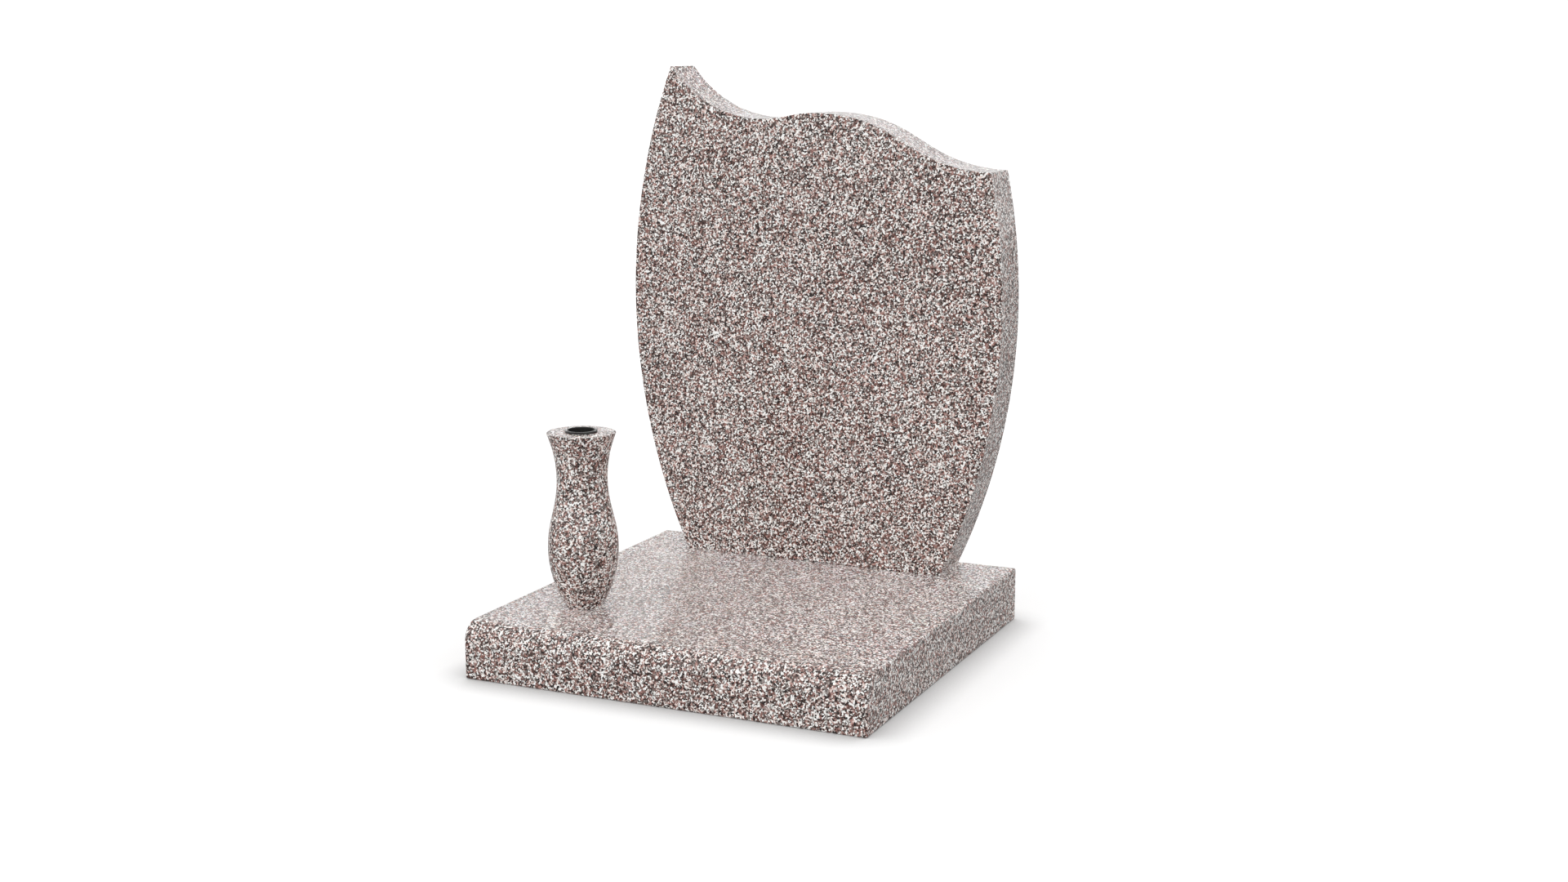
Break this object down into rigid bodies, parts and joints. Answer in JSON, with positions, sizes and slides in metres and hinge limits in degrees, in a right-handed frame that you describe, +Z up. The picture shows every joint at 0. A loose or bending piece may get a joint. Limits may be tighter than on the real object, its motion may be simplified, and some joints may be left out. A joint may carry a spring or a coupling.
{
  "type": "grave monument",
  "caption": "Polished granite grave monument: square base slab, upright headstone with a wave-shaped top and curved sides, and a turned flower vase with a black liner.",
  "frame": {"origin": "middle of the base slab's underside, on the ground it stands on", "axes": "+Z up, +X to the right as seen from the front, and the front of the monument faces -Y"},
  "size_m": [0.6, 0.6, 0.8299],
  "materials": {
    "granite": "polished, fine pinkish-brown, white and black grains",
    "liner_plastic": "satin black"
  },
  "bodies": {
    "root": {"base_slab": "granite", "headstone": "granite", "vase": "granite", "vase_liner": "liner_plastic"}
  },
  "joints": []
}
